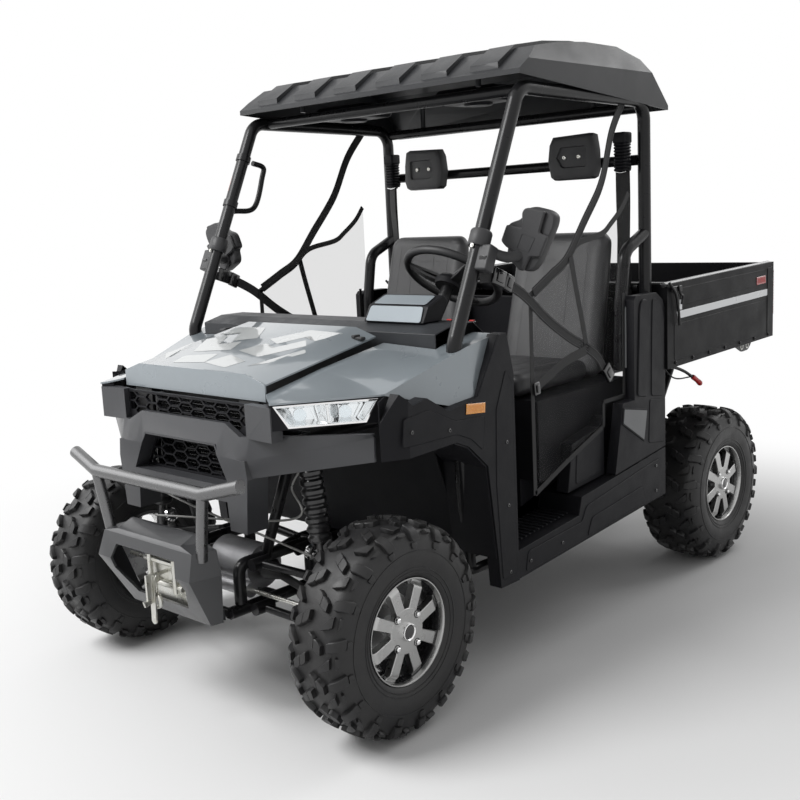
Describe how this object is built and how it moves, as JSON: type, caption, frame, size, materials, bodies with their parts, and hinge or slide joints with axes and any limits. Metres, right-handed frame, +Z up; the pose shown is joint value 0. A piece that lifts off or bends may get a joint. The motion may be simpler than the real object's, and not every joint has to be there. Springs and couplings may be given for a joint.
{
  "type": "side-by-side utility vehicle",
  "caption": "Two-seat side-by-side utility vehicle with roll cage, ribbed roof, winch bumper, tilting hood and tipping cargo bed.",
  "frame": {"origin": "on the ground under the middle of the overall length, on the centre plane", "axes": "+X to the vehicle's left, +Y to its rear, +Z up"},
  "size_m": [1.672, 2.7962, 2.002],
  "materials": {
    "vinyl": "black and grey grained vinyl",
    "bed_plastic": "black moulded bed",
    "cab_plastic": "grained black polyethylene",
    "bar_steel": "brushed dark silver",
    "black_tube": "black powder coat, fine texture",
    "trim_plastic": "dark grey grained",
    "engine_block": "painted casting",
    "zinc": "zinc plated",
    "paint_blue": "gloss blue-grey",
    "fascia_plastic": "dark grey grained",
    "cast_alloy": "as cast",
    "machined_rim": "machined face with black pockets",
    "tyre": "chunky moulded rubber",
    "spring": "black coil over zinc damper",
    "boot": "moulded rubber",
    "lens": "clear lamp lens over chrome bowls",
    "mirror_plastic": "black housing",
    "exhaust": "heat-dulled steel",
    "net_mesh": "black woven mesh",
    "wheel_grip": "soft grained grip",
    "bumper_steel": "dark satin powder coat"
  },
  "bodies": {
    "chassis": {"backrests": "vinyl", "belt_reels": "cab_plastic", "bull_bar": "bar_steel", "cage_crossbars": "black_tube", "chassis_frame": "black_tube", "dashboard": "trim_plastic", "engine": "engine_block", "fairlead": "zinc", "fender_panels": "paint_blue", "floor_pan": "cab_plastic", "front_arms": "black_tube", "front_fascia": "fascia_plastic", "front_fenders": "cab_plastic", "front_frame": "black_tube", "front_shocks": "spring", "gearcases": "cast_alloy", "grab_handle": "black_tube", "grilles": "cab_plastic", "half_shafts": "boot", "headlights": "lens", "headrests": "vinyl", "hitch_receiver": "black_tube", "instrument_pod": "cab_plastic", "left_cage_side": "black_tube", "mirrors": "mirror_plastic", "muffler": "exhaust", "quarter_panels": "cab_plastic", "rack_housing": "cast_alloy", "rear_arms": "black_tube", "rear_bulkhead": "cab_plastic", "rear_frame": "black_tube", "rear_knuckles": "cast_alloy", "rear_shocks": "spring", "right_cage_side": "black_tube", "roof": "cab_plastic", "seat_box": "cab_plastic", "seat_cheeks": "cab_plastic", "seat_cushions": "vinyl", "side_nets": "net_mesh", "sills": "cab_plastic", "skid_plate": "cab_plastic", "steering_column": "black_tube", "wheel_liners": "cab_plastic", "winch_bumper": "bumper_steel"},
    "front_left_knuckle": {"front_left_knuckle": "cast_alloy"},
    "front_right_knuckle": {"front_right_knuckle": "cast_alloy"},
    "front_left_wheel": {"front_left_tyre": "tyre", "front_left_rim": "machined_rim"},
    "front_right_wheel": {"front_right_tyre": "tyre", "front_right_rim": "machined_rim"},
    "rear_left_wheel": {"rear_left_tyre": "tyre", "rear_left_rim": "machined_rim"},
    "rear_right_wheel": {"rear_right_tyre": "tyre", "rear_right_rim": "machined_rim"},
    "steering_rack": {"tie_rods": "zinc"},
    "steering_wheel": {"steering_wheel": "wheel_grip"},
    "hood": {"hood": "paint_blue"},
    "bed": {"bed": "bed_plastic", "tail_lamps": "lens"},
    "tailgate": {"tailgate": "bed_plastic"}
  },
  "joints": [
    {"name": "steer_left", "type": "hinge", "parent": "chassis", "child": "front_left_knuckle", "pos_m": [0.5, -1.01, 0.312], "axis": [0, 0, 1], "range_deg": [-30, 30]},
    {"name": "steer_right", "type": "hinge", "parent": "chassis", "child": "front_right_knuckle", "pos_m": [-0.5, -1.01, 0.312], "axis": [0, 0, 1], "range_deg": [-30, 30]},
    {"name": "rack_travel", "type": "slide", "parent": "chassis", "child": "steering_rack", "axis": [1, 0, 0], "range_m": [-0.0512, 0.0512]},
    {"name": "steering_turn", "type": "hinge", "parent": "chassis", "child": "steering_wheel", "pos_m": [0.33, -0.31, 1.245], "axis": [0, 0.6018, 0.7986], "range_deg": [-270.5, 270.5]},
    {"name": "front_left_spin", "type": "hinge", "parent": "front_left_knuckle", "child": "front_left_wheel", "pos_m": [0.621, -1.01, 0.312], "axis": [1, 0, 0], "continuous": true},
    {"name": "front_right_spin", "type": "hinge", "parent": "front_right_knuckle", "child": "front_right_wheel", "pos_m": [-0.621, -1.01, 0.312], "axis": [1, 0, 0], "continuous": true},
    {"name": "rear_left_spin", "type": "hinge", "parent": "chassis", "child": "rear_left_wheel", "pos_m": [0.602, 0.922, 0.312], "axis": [1, 0, 0], "continuous": true},
    {"name": "rear_right_spin", "type": "hinge", "parent": "chassis", "child": "rear_right_wheel", "pos_m": [-0.602, 0.922, 0.312], "axis": [1, 0, 0], "continuous": true},
    {"name": "hood_tilt", "type": "hinge", "parent": "chassis", "child": "hood", "pos_m": [0, -1.14, 0.978], "axis": [1, 0, 0], "range_deg": [0, 70]},
    {"name": "bed_tip", "type": "hinge", "parent": "chassis", "child": "bed", "pos_m": [0, 1.185, 0.79], "axis": [-1, 0, 0], "range_deg": [0, 45]},
    {"name": "tailgate_drop", "type": "hinge", "parent": "bed", "child": "tailgate", "pos_m": [0, 1.377, 0.874], "axis": [-1, 0, 0], "range_deg": [0, 90]}
  ],
  "couplings": [
    {"joint": "steer_right", "follows": "steer_left", "ratio": 1},
    {"joint": "rack_travel", "follows": "steer_left", "m_per_rad": 0.09712},
    {"joint": "steering_turn", "follows": "steer_left", "ratio": 9}
  ]
}
